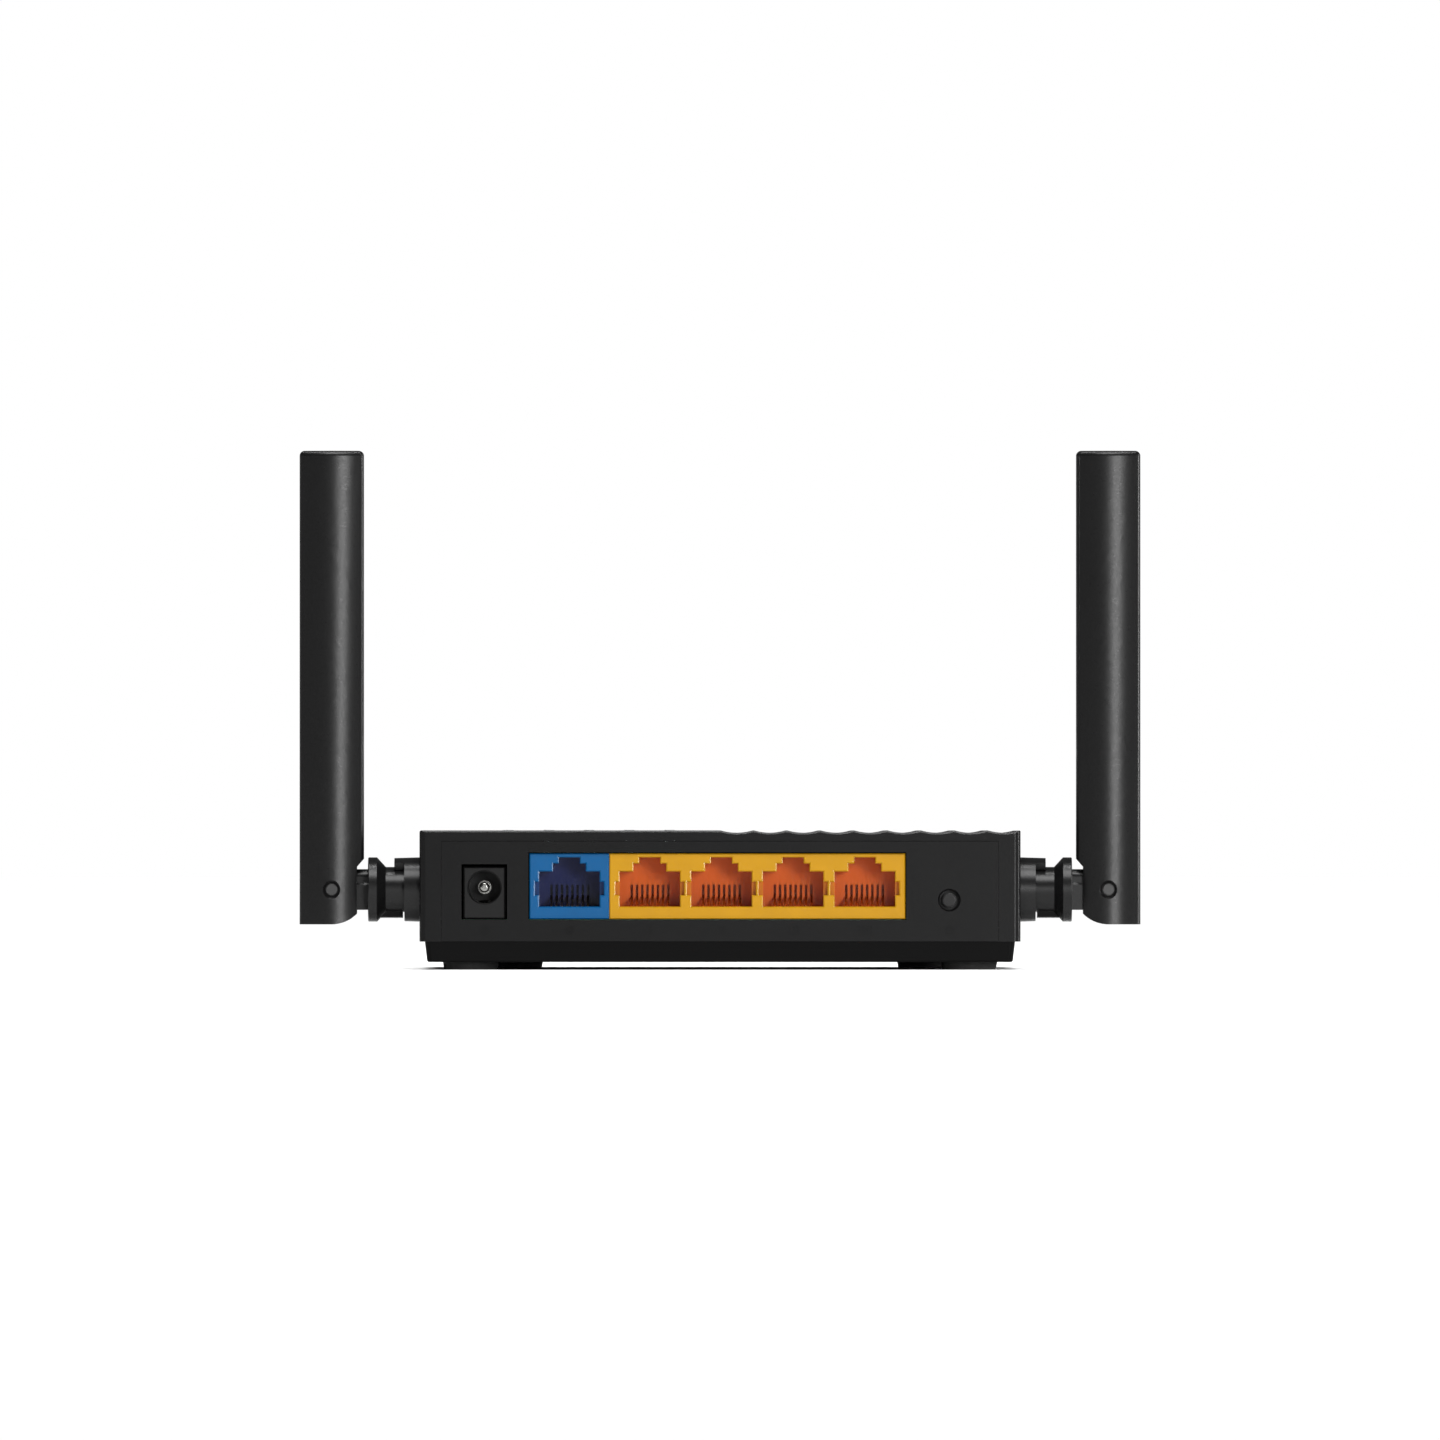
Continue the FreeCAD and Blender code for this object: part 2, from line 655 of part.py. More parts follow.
def panel_plate():
    """The flat plate with chamfered outer edges and its two side tabs."""
    plate = box(
        -PANEL_HALF_W, PANEL_HALF_W, REAR_Y, REAR_Y + PANEL_T, SEAM_Z + 0.05, PANEL_TOP
    )
    face_edges = edges_where(plate, lambda p: close(p.y, REAR_Y) and p.z > SEAM_Z + 0.1)
    plate = plate.makeChamfer(PANEL_CHAMFER, face_edges)
    tabs = []
    for side in (-1, 1):
        x0, x1 = side * PANEL_HALF_W - PANEL_TAB_REACH, side * PANEL_HALF_W + PANEL_TAB_REACH
        y0 = REAR_Y + PANEL_T
        tabs.append(box(x0, x1, y0, y0 + PANEL_TAB_T, SEAM_Z + 0.1, PANEL_TAB_TOP))
    return fuse(plate, *tabs)


def rear_panel():
    y0, y1 = REAR_Y - CLEAR, REAR_Y + PANEL_T + CLEAR
    half = DC_HOLE_W / 2
    dc_hole = box(DC_X - half, DC_X + half, y0, y1, DC_HOLE_BOTTOM, DC_HOLE_TOP)
    lan_right = lan_centres()[-1] + RJ_MARGIN
    rj_hole = box(
        WAN_LEFT - CUTOUT_GAP, lan_right + CUTOUT_GAP, y0, y1,
        PCB_TOP - CUTOUT_GAP, RJ_TOP + CUTOUT_GAP,
    )
    bore = rod(BUTTON_HOLE_R, (BUTTON_X, y0, BUTTON_Z), (BUTTON_X, y1, BUTTON_Z))
    lead_in = cone(
        BUTTON_HOLE_R + 0.35, BUTTON_HOLE_R,
        (BUTTON_X, REAR_Y - 0.05, BUTTON_Z), (BUTTON_X, REAR_Y + 0.3, BUTTON_Z),
    )
    return cut(panel_plate(), dc_hole, rj_hole, bore, lead_in, *panel_marks())


# ================================================================ power socket
def dc_jack_housing():
    y = JACK_FACE_Y
    left, right = DC_X - DC_W / 2, DC_X + DC_W / 2
    front = box(left, right, y, y + DC_FRONT_T, PCB_TOP, DC_TOP)
    front = front.makeChamfer(0.3, edges_where(front, lambda p: close(p.y, y)))
    back = fuse(
        rod(DC_W / 2 - 0.1, (DC_X, y + 1, DC_AXIS_Z), (DC_X, y + DC_DEPTH, DC_AXIS_Z)),
        box(left + 0.1, right - 0.1, y + 1, y + DC_DEPTH, PCB_TOP, DC_AXIS_Z),
    )
    bore = rod(DC_BORE_R, (DC_X, y - 1, DC_AXIS_Z), (DC_X, y + DC_BORE_DEPTH, DC_AXIS_Z))
    y_boss = y + DC_BORE_DEPTH - DC_BOSS_H
    boss = rod(DC_BOSS_R, (DC_X, y_boss, DC_AXIS_Z), (DC_X, y + DC_BORE_DEPTH + BITE, DC_AXIS_Z))
    mouth = cone(
        DC_BORE_R + 0.3, DC_BORE_R, (DC_X, y - 0.001, DC_AXIS_Z), (DC_X, y + 0.3, DC_AXIS_Z)
    )
    hollow = cut(fuse(front, back), bore, mouth)
    return cut(fuse(hollow, boss), dc_jack_center_pin(), dc_jack_spring())


def dc_jack_center_pin():
    """The socket's centre contact: a domed pin, a thicker root in the boss, and a solder tail."""
    y_tip = JACK_FACE_Y + DC_PIN_TIP
    y_floor = JACK_FACE_Y + DC_BORE_DEPTH
    y_boss = y_floor - DC_BOSS_H
    shaft = rod(DC_PIN_R, (DC_X, y_tip, DC_AXIS_Z), (DC_X, y_boss + BITE, DC_AXIS_Z))
    root = rod(DC_ROOT_R, (DC_X, y_boss, DC_AXIS_Z), (DC_X, y_floor + 1.5, DC_AXIS_Z))
    shaft = shaft.makeFillet(0.6, edges_where(shaft, lambda p: close(p.y, y_tip)))
    tail = box(
        DC_X - 1.2, DC_X + 1.2, y_floor + 1.0, y_floor + 1.5, PCB_BOTTOM - SOLDER_TAIL, DC_AXIS_Z
    )
    return fuse(shaft, root, tail)


def dc_jack_spring():
    """The outer contact: a leaf in the floor of the bore, with its solder tail."""
    y0 = JACK_FACE_Y + 1.6
    y1 = JACK_FACE_Y + 8.5
    low = DC_AXIS_Z - DC_BORE_R
    leaf = prism(
        [(y0, low - 0.5), (y0, low), (y0 + 2.5, low + 0.55), (y1, low - 0.1), (y1, low - 0.5)],
        "X", DC_X - 1.1, DC_X + 1.1,
    )
    tail = box(DC_X - 1.2, DC_X + 1.2, y1 - 0.5, y1, PCB_BOTTOM - SOLDER_TAIL, low - 0.2)
    return fuse(leaf, tail)


# ================================================================ network sockets
def cavity_outline(x):
    """Corner points, in X and Z, of one plug opening."""
    half, low, high = RJ_MAIN
    step_half, step_top = RJ_STEP
    notch_half, notch_top = RJ_NOTCH
    right = [
        (half, low),
        (half, high),
        (step_half, high),
        (step_half, step_top),
        (notch_half, step_top),
        (notch_half, notch_top),
    ]
    left = [(-a, b) for a, b in reversed(right)]
    return [(x + a, b) for a, b in right + left]


def port_cavity(x):
    y = JACK_FACE_Y
    hollow = prism(cavity_outline(x), "Y", y - 1, y + RJ_CAVITY_DEPTH)
    side_half, side_low, side_high = RJ_SIDE
    side = box(x - side_half, x + side_half, y - 1, y + RJ_SIDE_DEPTH, side_low, side_high)
    return fuse(hollow, side)


def contact_positions(x):
    return [x + (i - (CONTACTS - 1) / 2) * CONTACT_PITCH for i in range(CONTACTS)]


def comb_slots(x):
    """The slots in the opening's back wall that keep the contacts apart."""
    y = JACK_FACE_Y + RJ_CAVITY_DEPTH
    return [
        box(cx - SLOT_W / 2, cx + SLOT_W / 2, y - 0.1, y + SLOT_DEPTH, SLOT_LOW, SLOT_TOP)
        for cx in contact_positions(x)
    ]


def bent_strip(centre_line, thickness, x0, x1):
    """A metal strip of even thickness, bent along a line in Y and Z and as wide as x0 to x1."""
    points = [Vector(0, y, z) for y, z in centre_line]
    directions = [(b - a).normalize() for a, b in zip(points, points[1:])]
    normals = [Vector(0, -d.z, d.y) for d in directions]
    left, right = [], []
    for i, point in enumerate(points):
        before, after = normals[max(i - 1, 0)], normals[min(i, len(normals) - 1)]
        mitre = (before + after).normalize()
        offset = mitre * (thickness / 2 / mitre.dot(after))
        left.append(point + offset)
        right.append(point - offset)
    outline = [(p.y, p.z) for p in left + right[::-1]]
    return prism(outline, "X", x0, x1)


def contact_tail_y(index):
    return JACK_FACE_Y + (13.6 if index % 2 else 16.0)


def contacts(x):
    """Eight bent spring wires, from the board forward under the floor, then up and back."""
    wires = []
    y = JACK_FACE_Y
    for index, cx in enumerate(contact_positions(x)):
        tail = contact_tail_y(index)
        line = [
            (tail, PCB_BOTTOM - SOLDER_TAIL),
            (tail, 11.2),
            (y + 3.6, 11.2),
            (y + 3.1, 11.7),
            (y + 3.6, 12.2),
            (y + 12.8, 14.3),
        ]
        wires.append(bent_strip(line, CONTACT_T, cx - CONTACT_W / 2, cx + CONTACT_W / 2))
    return wires


def jack_housing(left, right, centres):
    y = JACK_FACE_Y
    block = box(left, right, y, y + RJ_DEPTH, PCB_TOP, RJ_TOP)
    block = block.makeChamfer(0.2, edges_where(block, lambda p: close(p.y, y)))
    block = cut(block, *[port_cavity(x) for x in centres])
    rims = edges_where(
        block,
        lambda p: close(p.y, y) and RJ_MAIN[1] - 0.01 < p.z < RJ_NOTCH[1] + 0.01,
    )
    rims = [e for e in rims if min(abs(e.CenterOfMass.x - x) for x in centres) < RJ_SIDE[0] + 0.01]
    block = block.makeChamfer(RJ_BEVEL, rims)
    slots = [s for x in centres for s in comb_slots(x)]
    wires = [w for x in centres for w in contacts(x)]
    return cut(cut(block, *slots), *wires)


def lan_centres():
    return [LAN_FIRST_X + i * RJ_PITCH for i in range(LAN_PORTS)]


def lan_jack_housing():
    return jack_housing(LAN_LEFT, lan_centres()[-1] + RJ_MARGIN, lan_centres())


def wan_jack_housing():
    return jack_housing(WAN_LEFT, LAN_LEFT - 0.05, [WAN_X])


# ================================================================ reset button and switch
def reset_button():
    """The button's stem, its stop flange behind the panel and the end that presses the switch."""
    def at(y):
        return (BUTTON_X, y, BUTTON_Z)

    tip = REAR_Y - BUTTON_PROUD
    stop = REAR_Y + PANEL_T + 0.05
    stem = rod(BUTTON_R, at(tip), at(SWITCH_FRONT + 2.0))
    stem = stem.makeFillet(0.3, edges_where(stem, lambda p: close(p.y, tip)))
    flange = rod(BUTTON_FLANGE_R, at(stop), at(stop + 0.8))
    return fuse(stem, flange)


def reset_switch_body():
    y0, y1 = SWITCH_FRONT, SWITCH_FRONT + SWITCH_DEPTH
    body = box(BUTTON_X - 3.3, BUTTON_X + 3.3, y0, y1, PCB_TOP, 17.2)
    body = body.makeChamfer(0.4, edges_where(body, lambda p: close(p.z, 17.2)))
    bore = rod(SWITCH_BORE_R, (BUTTON_X, y0 - 1, BUTTON_Z), (BUTTON_X, y1 - 0.8, BUTTON_Z))
    seat = rod(2.4, (BUTTON_X, y1 - 1.2, BUTTON_Z), (BUTTON_X, y1 - 0.8, BUTTON_Z))
    legs = [
        box(BUTTON_X + s * 2.6 - 0.3, BUTTON_X + s * 2.6 + 0.3, y1 - 1.2, y1 - 0.8,
            PCB_BOTTOM - SOLDER_TAIL, PCB_TOP + 0.5)
        for s in (-1, 1)
    ]
    return fuse(cut(body, bore, seat), *legs)


def reset_switch_dome():
    """The thin snap disc that gives the click, seated at the bottom of the switch's bore."""
    y = SWITCH_FRONT + SWITCH_DEPTH - 0.8
    return cone(2.35, 0.9, (BUTTON_X, y, BUTTON_Z), (BUTTON_X, y - 0.35, BUTTON_Z))


# ================================================================ circuit board
def circuit_board():
    board = box(-PCB_HALF_W, PCB_HALF_W, PCB_REAR, PCB_FRONT, PCB_BOTTOM, PCB_TOP)
    board = board.makeFillet(2.0, edges_where(
        board, lambda p: close(abs(p.x), PCB_HALF_W) and (close(p.y, PCB_REAR) or close(p.y, PCB_FRONT))))
    low, high = PCB_BOTTOM - 1, PCB_TOP + 1
    holes = screw_posts(4.6, low, high)
    holes += [rod(1.2, (x, y, low), (x, y, high)) for x, y in PCB_SCREWS]
    for x in [WAN_X] + lan_centres():
        for index, cx in enumerate(contact_positions(x)):
            tail = contact_tail_y(index)
            holes.append(box(cx - 0.35, cx + 0.35, tail - 0.35, tail + 0.35, low, high))
    pin_tail = JACK_FACE_Y + DC_BORE_DEPTH + 1.25
    leaf_tail = JACK_FACE_Y + 8.25
    for tail in (pin_tail, leaf_tail):
        holes.append(box(DC_X - 1.4, DC_X + 1.4, tail - 0.4, tail + 0.4, low, high))
    leg_y = SWITCH_FRONT + SWITCH_DEPTH - 1.0
    for s in (-1, 1):
        leg_x = BUTTON_X + s * 2.6
        holes.append(box(leg_x - 0.45, leg_x + 0.45, leg_y - 0.35, leg_y + 0.35, low, high))
    return cut(board, *holes)


def chip(x0, x1, y0, y1, height, bevel):
    body = box(x0, x1, y0, y1, PCB_TOP, PCB_TOP + height)
    return body.makeChamfer(bevel, edges_where(body, lambda p: close(p.z, PCB_TOP + height)))


def heat_sink():
    x0, x1, y0, y1 = HEAT_SINK_AREA
    low = PCB_TOP + PROCESSOR[4]
    base_top = low + HEAT_SINK_BASE
    base = box(x0, x1, y0, y1, low, base_top)
    pitch = (x1 - x0 - FIN_T) / (FIN_COUNT - 1)
    fins = []
    for i in range(FIN_COUNT):
        x = x0 + i * pitch
        fins.append(box(x, x + FIN_T, y0, y1, base_top - BITE, low + HEAT_SINK_H))
    return fuse(base, *fins)


def filter_capacitors():
    cans = []
    for x, y, radius, height in CAPACITORS:
        can = upright(radius, (x, y), PCB_TOP, PCB_TOP + height)
        cans.append(can.makeFillet(0.5, edges_where(can, lambda p: close(p.z, PCB_TOP + height))))
    return group(cans)


def rf_shield_can():
    x0, x1, y0, y1 = SHIELD_AREA
    top, t = PCB_TOP + SHIELD_H, SHIELD_T
    outer = box(x0, x1, y0, y1, PCB_TOP, top)
    outer = outer.makeFillet(2 * t, edges_where(outer, lambda p: close(p.z, top)))
    return cut(outer, box(x0 + t, x1 - t, y0 + t, y1 - t, PCB_TOP - CLEAR, top - t))


def status_leds():
    half_w, half_d, height = LED_BODY
    return group([
        box(x - half_w, x + half_w, LED_Y - half_d, LED_Y + half_d, PCB_TOP, PCB_TOP + height)
        for x in LED_X
    ])


def light_pipe():
    """Five clear rods, one over each status light, joined by a bar under the top cover."""
    low, top = PCB_TOP + LED_BODY[2] + 0.3, TOP_Z + LIGHT_PROUD
    rods = []
    for x in LED_X:
        post = upright(LED_R, (x, LED_Y), low, top)
        rods.append(post.makeFillet(LIGHT_PROUD / 2, edges_where(post, lambda p: close(p.z, top))))
    bar_low, bar_high = LIGHT_BAR_Z
    bar = box(LED_X[0] - 2.0, LED_X[-1] + 2.0, LED_Y - 1.6, LED_Y + 1.6, bar_low, bar_high)
    return fuse(bar, *rods)


# ================================================================ antenna, on the +X side
def antenna_socket():
    """The fixed collar in the case wall, with the tongue that stops the swivel."""
    inner_face = HALF_W - WALL
    barrel = cone(
        SOCKET_R, SOCKET_R - SOCKET_DRAFT,
        (inner_face, HINGE_Y, HINGE_Z), (TONGUE_END, HINGE_Y, HINGE_Z),
    )
    keep = fuse(
        swivel_rod(SOCKET_R + 1, inner_face - 1, SOCKET_END),
        sector(1.0, SOCKET_R + 1, SOCKET_END - 0.5, TONGUE_END + 1, 90, TONGUE_HALF_ANGLE),
    )
    barrel = barrel.common(keep)
    flange = swivel_rod(SOCKET_FLANGE_R, inner_face - SOCKET_FLANGE_T, inner_face)
    room = box(
        SHAFT_END - CLEAR, HALF_W, REAR_Y + WALL + INNER_CORNER_R, 0, LIP_TOP + 0.3, CEILING_Z - 0.1
    )
    flange = flange.common(room)
    bore = swivel_rod(SHAFT_R + SHAFT_GAP, SHAFT_END, SOCKET_END)
    under_tongue = swivel_rod(TONGUE_INNER_R, SOCKET_END - 0.01, TONGUE_END + CLEAR)
    return cut(fuse(barrel, flange), bore, under_tongue)


def friction_washer():
    x1 = HALF_W - WALL - SOCKET_FLANGE_T
    return cut(swivel_rod(WASHER_R, WASHER_IN, x1), swivel_rod(SHAFT_R + 0.15, SHAFT_END, HALF_W))


def retaining_ring():
    """A split ring snapped into the shaft's groove."""
    ring = cut(swivel_rod(RING_R, GROOVE_IN, GROOVE_OUT), swivel_rod(GROOVE_R, SHAFT_END, HALF_W))
    half = RING_SPLIT / 2
    gap = box(SHAFT_END, HALF_W, HINGE_Y - half, HINGE_Y + half, HINGE_Z, HINGE_Z + RING_R + CLEAR)
    return cut(ring, gap)


def knuckle_lug():
    """The flat lug between the blade's cheeks: thicker below a chamfered step, round at its end."""
    def slab(half_t, z0, z1):
        return box(RIM_END - 0.5, LUG_X, HINGE_Y - half_t, HINGE_Y + half_t, z0, z1)

    step_z, top_z = HINGE_Z + LUG_STEP_Z, HINGE_Z + LUG_R
    lower = slab(LUG_HALF_T, HINGE_Z - LUG_R, step_z)
    lower = lower.makeChamfer(LUG_STEP_CHAMFER, edges_where(
        lower, lambda p: close(p.z, step_z) and close(abs(p.y - HINGE_Y), LUG_HALF_T)))
    upper = slab(LUG_UPPER_HALF_T, HINGE_Z, top_z)
    upper = upper.makeFillet(LUG_TOP_R, edges_where(
        upper, lambda p: close(p.z, top_z) and close(abs(p.y - HINGE_Y), LUG_UPPER_HALF_T)))
    disc = rod(
        LUG_R, (LUG_X, HINGE_Y - LUG_HALF_T, HINGE_Z), (LUG_X, HINGE_Y + LUG_HALF_T, HINGE_Z)
    )
    proud = LUG_HALF_T + GUSSET_PROUD
    gusset = prism(
        [(RIM_END - 0.2, HINGE_Z + z0) for z0 in GUSSET_ROOT]
        + [(RIM_END + GUSSET_REACH, HINGE_Z + z1) for z1 in GUSSET_TIP],
        "Y", HINGE_Y - proud, HINGE_Y + proud,
    )
    return [lower, upper, disc, gusset]


def swivel_knuckle():
    """The turning half of the hinge: shaft, stop rib, flange and the lug that holds the blade."""
    def at(x):
        return (x, HINGE_Y, HINGE_Z)

    shaft = swivel_rod(SHAFT_R, SHAFT_END, CONE_START + 0.5)
    groove = cut(
        swivel_rod(SHAFT_R + CLEAR, GROOVE_IN, GROOVE_OUT), swivel_rod(GROOVE_R, SHAFT_END, HALF_W)
    )
    rib = sector(SHAFT_R - 0.5, RIB_R, RIB_IN, RIB_OUT, -90, RIB_HALF_ANGLE)
    shoulder = cone(SHAFT_R, RIM_R, at(CONE_START), at(RIM_START))
    rim = swivel_rod(RIM_R, RIM_START, RIM_END)
    rim = rim.makeFillet(0.2, edges_where(rim, lambda p: close(p.x, RIM_END)))
    solid = fuse(shaft, rib, shoulder, rim, *knuckle_lug())
    bore = swivel_rod(SHAFT_BORE_R, SHAFT_END - CLEAR, CONE_START)
    cable_bore = swivel_rod(CABLE_BORE_R, CONE_START - CLEAR, LUG_X)
    half = CABLE_SLOT_HALF
    cable_turn = box(
        LUG_X - 1.5, LUG_X + LUG_R + CLEAR, HINGE_Y - half, HINGE_Y + half,
        HINGE_Z - half, HINGE_Z + LUG_R + CLEAR,
    )
    reach = LUG_HALF_T + CLEAR
    pin_bore = rod(PIN_BORE_R, (LUG_X, HINGE_Y - reach, HINGE_Z), (LUG_X, HINGE_Y + reach, HINGE_Z))
    return cut(solid, groove, bore, cable_bore, cable_turn, pin_bore)


def hinge_pins():
    """Two stub pins, one in each cheek of the blade."""
    stubs = []
    for side in (-1, 1):
        start, end = HINGE_Y + side * PIN_IN, HINGE_Y + side * PIN_OUT
        stub = rod(PIN_R, (LUG_X, start, HINGE_Z), (LUG_X, end, HINGE_Z))
        stubs.append(stub.makeFillet(0.15, edges_where(stub, lambda p: close(p.y, end))))
    return group(stubs)


def blade_section(z, crown, edge):
    """The blade's section: two shallow arcs joined by narrow flat sides."""
    w = BLADE_HALF_W

    def at(x, y):
        return Vector(LUG_X + x, HINGE_Y + y, HINGE_Z + z)

    back = Part.Arc(at(-w, -edge), at(0, -crown), at(w, -edge)).toShape()
    outer = Part.LineSegment(at(w, -edge), at(w, edge)).toShape()
    front = Part.Arc(at(w, edge), at(0, crown), at(-w, edge)).toShape()
    inner = Part.LineSegment(at(-w, edge), at(-w, -edge)).toShape()
    return Part.Wire([back, outer, front, inner])


def blade_body():
    """The blade's outer form: lofted, with rounded long edges and a rounded tip."""
    sections = [
        blade_section(-BLADE_FOOT, BLADE_CROWN, BLADE_EDGE),
        blade_section(BLADE_TOP, BLADE_TIP_CROWN, BLADE_TIP_EDGE),
    ]
    blade = Part.makeLoft(sections, True, True)
    sides = edges_where(blade, lambda p: close(abs(p.x - LUG_X), BLADE_HALF_W))
    sides = [e for e in sides if e.Length > BLADE_TOP]
    blade = blade.makeFillet(BLADE_EDGE_R, sides)
    tip = edges_where(blade, lambda p: close(p.z, HINGE_Z + BLADE_TOP))
    return blade.makeFillet(BLADE_TIP_R, tip)


def blade_relief():
    """What is taken off the foot's inner side: a step above the lug and a round corner below it."""
    reach = BLADE_CROWN + CLEAR
    inner, outside = LUG_X - RELIEF_X, LUG_X - BLADE_HALF_W - CLEAR
    low = HINGE_Z - BLADE_FOOT - CLEAR
    step = prism(
        [
            (outside, low),
            (outside, HINGE_Z + RELIEF_HIGH + CLEAR),
            (LUG_X - BLADE_HALF_W, HINGE_Z + RELIEF_HIGH),
            (inner, HINGE_Z + RELIEF_LOW),
            (inner, low),
        ],
        "Y", HINGE_Y - reach, HINGE_Y + reach,
    )
    corner = box(outside, LUG_X, HINGE_Y - reach, HINGE_Y + reach, low, HINGE_Z)
    sweep = rod(
        BLADE_FOOT,
        (LUG_X, HINGE_Y - reach - CLEAR, HINGE_Z), (LUG_X, HINGE_Y + reach + CLEAR, HINGE_Z),
    )
    return [step, cut(corner, sweep)]


def blade_hollows():
    """The slot for the lug, the room for the radiator, the cable's way up and the pin holes."""
    slot = box(
        LUG_X - BLADE_HALF_W - CLEAR, LUG_X + LUG_R + 0.25,
        HINGE_Y - SLOT_HALF_T, HINGE_Y + SLOT_HALF_T,
        HINGE_Z - BLADE_FOOT - CLEAR, HINGE_Z + LUG_R + 0.35,
    )
    room = box(
        LUG_X - CAVITY_HALF_W, LUG_X + CAVITY_HALF_W,
        HINGE_Y - CAVITY_HALF_T, HINGE_Y + CAVITY_HALF_T,
        HINGE_Z + CAVITY_START, HINGE_Z + BLADE_TOP - CAVITY_END_WALL,
    )
    way_up = rod(
        CABLE_WAY_R, (LUG_X, HINGE_Y, HINGE_Z + LUG_R), (LUG_X, HINGE_Y, HINGE_Z + CAVITY_START + BITE)
    )
    reach = BLADE_CROWN + CLEAR
    pin_hole = rod(PIN_R, (LUG_X, HINGE_Y - reach, HINGE_Z), (LUG_X, HINGE_Y + reach, HINGE_Z))
    return [slot, room, way_up, pin_hole]


def antenna_blade():
    sinks = []
    for side in (-1, 1):
        face = (LUG_X, HINGE_Y + side * (BLADE_CROWN + 0.02), HINGE_Z)
        deep = (LUG_X, HINGE_Y + side * (BLADE_CROWN - COUNTERSINK_DEPTH), HINGE_Z)
        sinks.append(cone(COUNTERSINK_R, PIN_R + 0.1, face, deep))
    return cut(blade_body(), *blade_relief(), *blade_hollows(), *sinks)


def antenna_radiator():
    """The printed dipole strip that the blade covers."""
    strip = box(
        LUG_X - 3.5, LUG_X + 3.5, HINGE_Y - 0.4, HINGE_Y + 0.4,
        HINGE_Z + RADIATOR_START, HINGE_Z + BLADE_TOP - 4,
    )
    feed = box(
        LUG_X - 1.2, LUG_X + 1.2, HINGE_Y - 0.9, HINGE_Y - 0.4,
        HINGE_Z + RADIATOR_START + 1.0, HINGE_Z + RADIATOR_START + 5.0,
    )
    return fuse(strip, feed)


def coax_in_blade():
    return rod(
        CABLE_R,
        (LUG_X, HINGE_Y, HINGE_Z + LUG_R + 0.8),
        (LUG_X, HINGE_Y, HINGE_Z + RADIATOR_START),
    )


def coax_in_knuckle():
    return swivel_rod(CABLE_R, 62.1, LUG_X - 1.3)


def coax_in_case():
    """The cable from the swivel's axis, round behind the sockets and down to the board."""
    route = [
        (62.0, HINGE_Y, HINGE_Z),
        (51.4, HINGE_Y, HINGE_Z),
        (51.4, -22.0, 14.5),
        (45.0, -17.5, 11.0),
        (40.2, -17.5, 11.0),
    ]
    return cable(route, CABLE_R)


def coax_connector():
    """The small board connector that the cable ends in."""
    return box(38.4, 40.2, -18.6, -16.4, PCB_TOP, PCB_TOP + 1.8)


# ================================================================ the whole router
def build():
    nodes = {
        "top_cover": top_cover(),
        "bottom_cover": bottom_cover(),
        "rear_panel": rear_panel(),
        "rating_label": rating_label(),
        "case_screws": case_screws(),
        "pcb_screws": pcb_screws(),
        "circuit_board": circuit_board(),
        "dc_jack_housing": dc_jack_housing(),
        "dc_jack_center_pin": dc_jack_center_pin(),
        "dc_jack_spring": dc_jack_spring(),
        "wan_jack_housing": wan_jack_housing(),
        "wan_jack_contacts": group(contacts(WAN_X)),
        "lan_jack_housing": lan_jack_housing(),
        "lan_jack_contacts": group([w for x in lan_centres() for w in contacts(x)]),
        "reset_button": reset_button(),
        "reset_switch_body": reset_switch_body(),
        "reset_switch_dome": reset_switch_dome(),
        "heat_sink": heat_sink(),
        "filter_capacitors": filter_capacitors(),
        "rf_shield_can": rf_shield_can(),
        "status_leds": status_leds(),
        "light_pipe": light_pipe(),
    }
    for name, sizes in CHIPS.items():
        nodes[name] = group([chip(*size) for size in sizes])
    for corner, place in FEET.items():
        nodes["rubber_foot_" + corner] = rubber_foot(place)
    antenna = {
        "antenna_socket": antenna_socket(),
        "friction_washer": friction_washer(),
        "retaining_ring": retaining_ring(),
        "swivel_knuckle": swivel_knuckle(),
        "hinge_pins": hinge_pins(),
        "antenna_blade": antenna_blade(),
        "antenna_radiator": antenna_radiator(),
        "coax_in_blade": coax_in_blade(),
        "coax_in_knuckle": coax_in_knuckle(),
        "coax_in_case": coax_in_case(),
        "coax_connector": coax_connector(),
    }
    for name, shape in antenna.items():
        nodes["right_" + name] = shape
        nodes["left_" + name] = mirror(shape)
    return nodes


def main():
    os.makedirs("parts", exist_ok=True)
    for name, shape in build().items():
        solids = shape.Solids
        sound = shape.isValid() and all(s.isClosed() and s.Volume > 0 for s in solids)
        print(f"{name}: {len(solids)} solids, {shape.Volume:.1f} mm3{'' if sound else ' NOT SOUND'}")
        piece = solids[0] if len(solids) == 1 else Part.makeCompound(solids)
        piece.exportStep(f"parts/{name}.step")


main()
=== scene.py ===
import json
import math

import bpy
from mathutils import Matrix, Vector


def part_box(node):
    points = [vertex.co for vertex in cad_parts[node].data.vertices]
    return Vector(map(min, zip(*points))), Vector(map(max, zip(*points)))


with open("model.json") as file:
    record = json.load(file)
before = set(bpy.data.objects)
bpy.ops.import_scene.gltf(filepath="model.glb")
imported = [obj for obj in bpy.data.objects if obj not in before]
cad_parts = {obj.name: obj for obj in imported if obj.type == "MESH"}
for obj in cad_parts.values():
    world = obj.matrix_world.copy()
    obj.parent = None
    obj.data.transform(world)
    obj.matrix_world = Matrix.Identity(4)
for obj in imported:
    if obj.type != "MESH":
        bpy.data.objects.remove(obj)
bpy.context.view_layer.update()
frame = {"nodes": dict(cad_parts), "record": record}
nodes = frame["nodes"]
MM = 0.001


